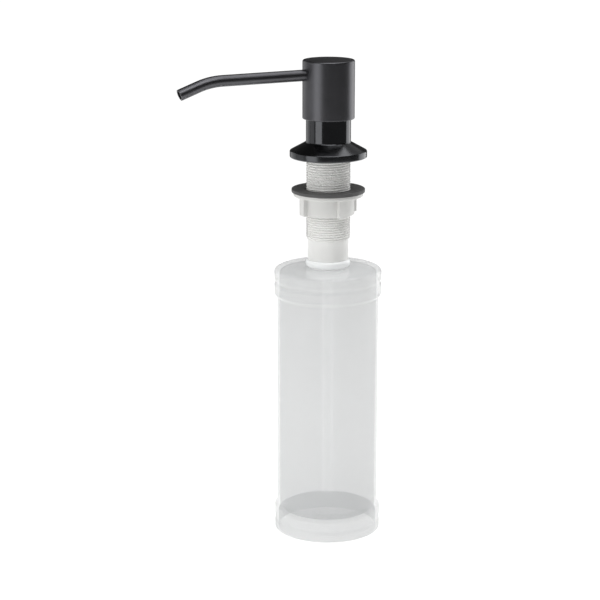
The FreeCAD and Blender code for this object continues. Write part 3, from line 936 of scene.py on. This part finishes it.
class DISPENSER_OT_pump(bpy.types.Operator):
    """Pump body with its cap, seals and dip tube"""

    bl_idname = "dispenser.pump"
    bl_label = "Pump body"

    barrel_bore = 8.03 * MM
    barrel_r = 10.03 * MM
    bore_r = 6.0 * MM
    body_r = 7.5 * MM
    wall = 1.5 * MM
    chamber_r = 3.7 * MM
    passage_r = 2.0 * MM
    dip_socket_r = 3.52 * MM
    lower_r = 5.25 * MM
    guide_r = 4.06 * MM
    recess_r = 6.31 * MM
    recess_drop = 8.5 * MM
    seat_drop = 1.7 * MM
    throat_rise = 2.3 * MM    # above the dip tube's top
    cage_h = 4 * MM
    dip_wall = 1.0 * MM
    bush_gap = 0.02 * MM
    seal_gap = 0.15 * MM
    edge = 0.25 * MM
    gasket_edge = 0.1 * MM
    wiper_edge = 0.2 * MM
    corner = 0.4 * MM

    def execute(self, context):
        finishes = context.scene.dispenser_finishes
        plastic = pump_material(finishes)
        rubber_black = seal_material(finishes)
        self.add("moulded_cylinder", self.cylinder(), plastic, "pump_plastic", "pump_cylinder")
        self.add("guide_bush", self.bush(), plastic, "pump_plastic", "cylinder_cap")
        gasket = ring_of(
            self.barrel_r + self.seal_gap, high("cylinder_gasket", X), low("cylinder_gasket"),
            high("cylinder_gasket"), self.gasket_edge)
        self.add("barrel_seal", gasket, rubber_black, "seal_rubber", "cylinder_gasket")
        wiper = ring_of(
            self.guide_r, high("stem_wiper", X), low("stem_wiper"), high("stem_wiper"),
            self.wiper_edge)
        self.add("wiper_seal", wiper, rubber_black, "seal_rubber", "stem_wiper")
        self.dip_tube(context.scene.dispenser_sizes, finishes)
        finish_node("ball_cage", plastic)
        return {"FINISHED"}

    def add(self, name, points, material, material_slot, node):
        """A turned piece of the pump body."""
        mesh = surface_mesh(name, turned(points))
        add_piece(name, mesh, material, "pump_unit", material_slot, node)

    def cylinder(self):
        """Outline of the stepped cylinder: socket, chamber, bore, barrel and flange."""
        bottom, top = low("pump_cylinder"), high("pump_cylinder")
        flange_r, flange_z = high("pump_cylinder", X), high("cylinder_gasket")
        cage_z, dip_top = high("ball_cage") - self.cage_h, high("dip_tube")
        throat, barrel_floor = dip_top + self.throat_rise, low("stem_wiper")
        return outline(
            (self.dip_socket_r, bottom, self.edge), (self.lower_r, bottom, self.edge),
            (self.lower_r, cage_z - self.wall, self.corner), (self.body_r, cage_z, self.corner),
            (self.body_r, barrel_floor - self.wall, self.corner),
            (self.barrel_r, barrel_floor, self.corner), (self.barrel_r, flange_z),
            (flange_r, flange_z, self.edge), (flange_r, top, self.edge),
            (self.barrel_bore, top), (self.barrel_bore, barrel_floor),
            (self.bore_r, barrel_floor), (self.bore_r, cage_z), (self.chamber_r, cage_z),
            (self.chamber_r, throat + self.seat_drop), (self.passage_r, throat),
            (self.passage_r, dip_top), (self.dip_socket_r, dip_top))

    def bush(self):
        """Outline of the guide bush with its flange and recess."""
        bottom, top = low("cylinder_cap"), high("cylinder_cap")
        flange_r, flange_z = high("cylinder_cap", X), high("pump_cylinder")
        recess_z = top - self.recess_drop
        bush_r = self.barrel_bore - self.bush_gap
        return outline(
            (self.guide_r, bottom, self.edge), (bush_r, bottom, self.edge), (bush_r, flange_z),
            (flange_r, flange_z, self.edge), (flange_r, top, self.edge),
            (self.recess_r, top, self.edge), (self.recess_r, recess_z),
            (self.guide_r, recess_z, self.edge))

    def dip_tube(self, sizes, finishes):
        """Plain drawn tube with a fine wall."""
        points = ring_of(
            sizes.dip_r - self.dip_wall, sizes.dip_r, low("dip_tube"), high("dip_tube"),
            THIN_EDGE)
        mesh = surface_mesh("drawn_dip_tube", turned(points, SLIM_COLUMNS))
        # The tube's strong glow is painted light that keeps it bright inside the bottle.
        clear = clear_wall(
            "translucent_polyethylene_tube", finishes.tube_plastic, thick_colour="#fafbfb",
            painted_edge_shade="#eef0f0", alphas=(0.12, 0.5), thick_from=high("dip_tube"), painted_glow=0.5)
        add_piece("drawn_dip_tube", mesh, clear, "pump_unit", "tube_plastic", "dip_tube")


class DISPENSER_OT_plunger(bpy.types.Operator):
    """Stem, piston, clip and return spring"""

    bl_idname = "dispenser.plunger"
    bl_label = "Plunger and spring"

    stem_r = 4.0 * MM
    stem_bore = 1.6 * MM
    chamber_r = 3.1 * MM
    chamber_depth = 5.13 * MM
    lip_r = 5.94 * MM
    waist = 1.0 * MM
    clip_r = 5.5 * MM
    wire_r = 0.5 * MM
    coil_r = 4.9 * MM
    coils = 8
    steps_per_coil = 48
    wire_columns = 12
    stem_gap = 0.02 * MM
    edge = 0.2 * MM

    def execute(self, context):
        finishes = context.scene.dispenser_finishes
        plastic = pump_material(finishes)
        name = "piston_polyethylene"
        piston_plastic = moulded_plastic(name, finishes.piston_plastic, 0.34)
        self.add("moulded_stem", self.stem(), plastic, "pump_plastic", "pump_stem")
        self.add("lipped_piston", self.piston(), piston_plastic, "piston_plastic", "pump_piston")
        clip = ring_of(
            self.stem_r + self.stem_gap, self.clip_r, low("piston_clip"), high("piston_clip"),
            self.edge)
        self.add("spring_clip", clip, plastic, "pump_plastic", "piston_clip")
        self.spring(finishes)
        return {"FINISHED"}

    def add(self, name, points, material, material_slot, node):
        """A turned piece of the plunger."""
        mesh = surface_mesh(name, turned(points, SLIM_COLUMNS))
        add_piece(name, mesh, material, "plunger", material_slot, node)

    def stem(self):
        """Outline of the hollow stem with the valve chamber at its top."""
        bottom, top = low("pump_stem"), high("pump_stem")
        shelf = top - self.chamber_depth
        seat = shelf - (self.chamber_r - self.stem_bore)
        return outline(
            (self.stem_bore, bottom, THIN_EDGE), (self.stem_r, bottom, self.edge),
            (self.stem_r, top, self.edge), (self.chamber_r, top, self.edge),
            (self.chamber_r, shelf), (self.stem_bore, seat))

    def piston(self):
        """Outline of the piston: two lips and a waist between them."""
        bottom, top = low("pump_piston"), high("pump_piston")
        bore_r = self.stem_r + self.stem_gap
        waist_r = self.lip_r - self.waist
        lip_h = (top - bottom) / 4
        half = self.waist / 2
        return outline(
            (bore_r, bottom), (self.lip_r, bottom, self.edge),
            (self.lip_r, bottom + lip_h, self.edge), (waist_r, bottom + lip_h + half, self.edge),
            (waist_r, top - lip_h - half, self.edge), (self.lip_r, top - lip_h, self.edge),
            (self.lip_r, top, self.edge), (bore_r, top))

    def spring(self, finishes):
        """Helical wire: a circle of the wire's radius carried along a helix.

        The helix point at the angle a is (R cos a, R sin a, bottom + rise a / last angle), and
        the wire's circle lies between the outward and upward directions. Its ends shrink to a
        point.
        """
        bottom = high("ball_cage") + self.wire_r
        rise = low("piston_clip") - self.wire_r - bottom
        last = self.coils * FULL_TURN
        turn = np.linspace(0, last, self.coils * self.steps_per_coil + 1)
        turn = np.concatenate([turn[:1], turn, turn[-1:]])[:, None]
        wire = np.full_like(turn, self.wire_r)
        wire[[0, -1]] = 0
        around = np.linspace(0, FULL_TURN, self.wire_columns, endpoint=False)[None, :]
        radius = self.coil_r - wire * np.cos(around)
        height = bottom + rise * turn / last + wire * np.sin(around)
        grid = np.stack([radius * np.cos(turn), radius * np.sin(turn), height], -1)
        mesh = surface_mesh("return_spring_wire", grid, close_rows=False)
        spring = add_piece(
            "return_spring_wire", mesh, steel_material(finishes), "pump_unit", "spring_steel",
            "return_spring")
        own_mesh(spring)


class DISPENSER_OT_valve_balls(bpy.types.Operator):
    """Steel balls of the two valves: half circles turned about their upright diameters"""

    bl_idname = "dispenser.valve_balls"
    bl_label = "Valve balls"

    ball_columns = 48
    ball_rows = 25

    def execute(self, context):
        steel = steel_material(context.scene.dispenser_finishes)
        for node, body in (("inlet_ball", "inlet_valve"), ("outlet_ball", "outlet_valve")):
            bottom, top = low(node), high(node)
            radius = (top - bottom) / 2
            rise = np.linspace(-math.pi / 2, math.pi / 2, self.ball_rows)
            middle = (top + bottom) / 2
            points = np.stack([radius * np.cos(rise), middle + radius * np.sin(rise)], -1)
            points[[0, -1], 0] = 0
            grid = turned(points, self.ball_columns)
            mesh = surface_mesh(f"steel_{node}", grid, close_rows=False)
            add_piece(f"steel_{node}", mesh, steel, body, "ball_steel", node)
        return {"FINISHED"}


# ---- Stage ------------------------------------------------------------------------------
class DISPENSER_OT_stage(bpy.types.Operator):
    """Pale floor, soft studio lights and the camera"""

    bl_idname = "dispenser.stage"
    bl_label = "Stage"

    view_turn = math.radians(-22)       # the camera's place round the object
    view_fall = math.radians(14.2)
    view_distance = 1.138     # from the object's axis, level
    view_side = -0.0172       # to the right of the axis
    view_height = 0.1984      # above the worktop's height
    lens = 114.0
    floor_r = 0.75
    floor_core_r = 0.1
    floor_glow = 0.4
    seen_white = 1.05         # strength of the surroundings as the camera sees them
    dull_fill = 0.35          # and as dull surfaces do
    mirrored_low = 0.14       # and as polished ones do, level and below
    mirrored_high = 0.05      # and above
    softboxes = (             # name, azimuth, rise, distance, width, height, radiance
        ("front_softbox", 0, 62, 1.2, 1.1, 0.5, 3.4),
        ("left_strip", -52, 2, 1.1, 0.7, 1.3, 1.8),
        ("left_fill", -92, 0, 1.0, 0.55, 1.3, 0.62),
        ("left_back_strip", -131, 0, 1.0, 0.75, 1.3, 0.75),
        ("right_back_strip", 125, 0, 1.0, 0.82, 1.3, 1.9),
        ("right_high_softbox", 152, 45, 1.0, 0.7, 0.6, 0.3),
        ("overhead_softbox", 120, 78, 1.0, 0.75, 0.75, 2.2),
    )

    def execute(self, context):
        finishes = context.scene.dispenser_finishes
        self.camera(context)
        self.floor(finishes)
        self.world(context)
        self.lights()
        context.scene.view_settings.view_transform = "Standard"
        return {"FINISHED"}

    def towards(self, azimuth):
        """Level unit vector at an azimuth from the viewer's side, positive to the right."""
        t = self.view_turn + azimuth
        return np.array([math.sin(t), -math.cos(t), 0.0])

    def camera(self, context):
        """Camera that looks along its own azimuth and down by the fall."""
        data = bpy.data.cameras.new("studio_camera")
        data.lens = self.lens
        data.sensor_width = 36.0
        data.clip_start = 0.01
        camera = bpy.data.objects.new("studio_camera", data)
        across = self.towards(math.pi / 2)
        place = self.view_distance * self.towards(0) + self.view_side * across
        camera.location = (place[0], place[1], self.view_height)
        camera.rotation_euler = (math.pi / 2 - self.view_fall, 0, self.view_turn)
        context.scene.collection.objects.link(camera)
        context.scene.camera = camera

    def floor(self, finishes):
        """Round floor under the base: a disc of revolution, lit enough to read as white."""
        height = low("bottle")
        points = np.array([[0, height], [self.floor_core_r, height], [self.floor_r, height]])
        mesh = surface_mesh("studio_floor", turned(points), close_rows=False)
        mesh.flip_normals()
        material, tree, place = new_material("matt_white_floor")
        cloud = noise_at(tree, place, 200 * MM)
        close_material(tree, {
            "Base Color": shaded(tree, cloud, finishes.floor, 0.01),
            "Roughness": 0.9,
            "Emission Color": WHITE,
            "Emission Strength": self.floor_glow,
        })
        add_object("studio_floor", mesh, material)

    def world(self, context):
        """White behind the object and dim round it, with a soft fill for dull surfaces.

        Mirror-like surfaces see a dim floor level and a darker room above it.
        """
        world = bpy.data.worlds.new("studio_surroundings")
        world.use_nodes = True
        tree = world.node_tree
        tree.nodes.clear()
        ray = add_node(tree, "ShaderNodeLightPath")
        way = add_node(tree, "ShaderNodeTexCoord").outputs["Generated"]
        rise = add_node(tree, "ShaderNodeSeparateXYZ", {"Vector": way}).outputs["Z"]
        mirrored = add_node(
            tree, "ShaderNodeMapRange",
            {"Value": rise, "From Min": -0.05, "From Max": 0.1, "To Min": self.mirrored_low,
             "To Max": self.mirrored_high})
        fill = add_node(
            tree, "ShaderNodeMapRange",
            {"Value": ray.outputs["Is Diffuse Ray"], "To Min": mirrored.outputs["Result"],
             "To Max": self.dull_fill})
        seen = add_node(
            tree, "ShaderNodeMapRange",
            {"Value": ray.outputs["Is Camera Ray"], "To Min": fill.outputs["Result"],
             "To Max": self.seen_white})
        light = add_node(
            tree, "ShaderNodeBackground", {"Color": WHITE, "Strength": seen.outputs["Result"]})
        add_node(tree, "ShaderNodeOutputWorld", {"Surface": light.outputs["Background"]})
        context.scene.world = world

    def lights(self):
        """Softboxes: one high in front, tall ones at the sides, two high at the right."""
        for settings in self.softboxes:
            self.softbox(*settings)

    def softbox(self, name, azimuth, rise, distance, width, height, radiance):
        """Area light that faces the object; power is pi times radiance times area.

        The azimuth is in degrees from the viewer's side, positive to the right, and the rise
        is in degrees above the level.
        """
        azimuth, rise = math.radians(azimuth), math.radians(rise)
        centre = (np.array(CAD_BOX[0]) + np.array(CAD_BOX[1])) / 2
        centre[:2] = 0
        way = self.towards(azimuth) * math.cos(rise) + np.array([0, 0, math.sin(rise)])
        data = bpy.data.lights.new(name, "AREA")
        data.shape = "RECTANGLE"
        data.size = width
        data.size_y = height
        data.energy = math.pi * radiance * width * height
        light = bpy.data.objects.new(name, data)
        light.location = centre + way * distance
        light.rotation_euler = (math.pi / 2 - rise, 0, self.view_turn + azimuth)
        light.visible_camera = False
        bpy.context.scene.collection.objects.link(light)


# ---- Panel and registration ---------------------------------------------------------------
PIECE_OPERATORS = (
    DISPENSER_OT_stage,
    DISPENSER_OT_head,
    DISPENSER_OT_collar,
    DISPENSER_OT_shank,
    DISPENSER_OT_clamp,
    DISPENSER_OT_bottle,
    DISPENSER_OT_pump,
    DISPENSER_OT_plunger,
    DISPENSER_OT_valve_balls,
)


class DISPENSER_PT_pieces(bpy.types.Panel):
    """Lists the operators that build the dispenser"""

    bl_idname = "DISPENSER_PT_pieces"
    bl_label = "Soap dispenser"
    bl_space_type = "VIEW_3D"
    bl_region_type = "UI"
    bl_category = "Soap dispenser"

    def draw(self, context):
        layout = self.layout
        for group in (context.scene.dispenser_sizes, context.scene.dispenser_finishes):
            for name in group.__annotations__:
                layout.prop(group, name)
        for operator in PIECE_OPERATORS:
            layout.operator(operator.bl_idname)


CLASSES = (DispenserSizes, DispenserFinishes, *PIECE_OPERATORS, DISPENSER_PT_pieces)


def register():
    """Register the classes and hang the properties on the scene."""
    for cls in CLASSES:
        bpy.utils.register_class(cls)
    bpy.types.Scene.dispenser_sizes = bpy.props.PointerProperty(type=DispenserSizes)
    bpy.types.Scene.dispenser_finishes = bpy.props.PointerProperty(type=DispenserFinishes)


def unregister():
    """Take the properties and the classes away again."""
    del bpy.types.Scene.dispenser_finishes
    del bpy.types.Scene.dispenser_sizes
    for cls in reversed(CLASSES):
        bpy.utils.unregister_class(cls)


def main():
    """Build every piece and the stage."""
    register()
    for operator in PIECE_OPERATORS:
        group, name = operator.bl_idname.split(".")
        getattr(getattr(bpy.ops, group), name)()


if __name__ == "__main__":
    main()
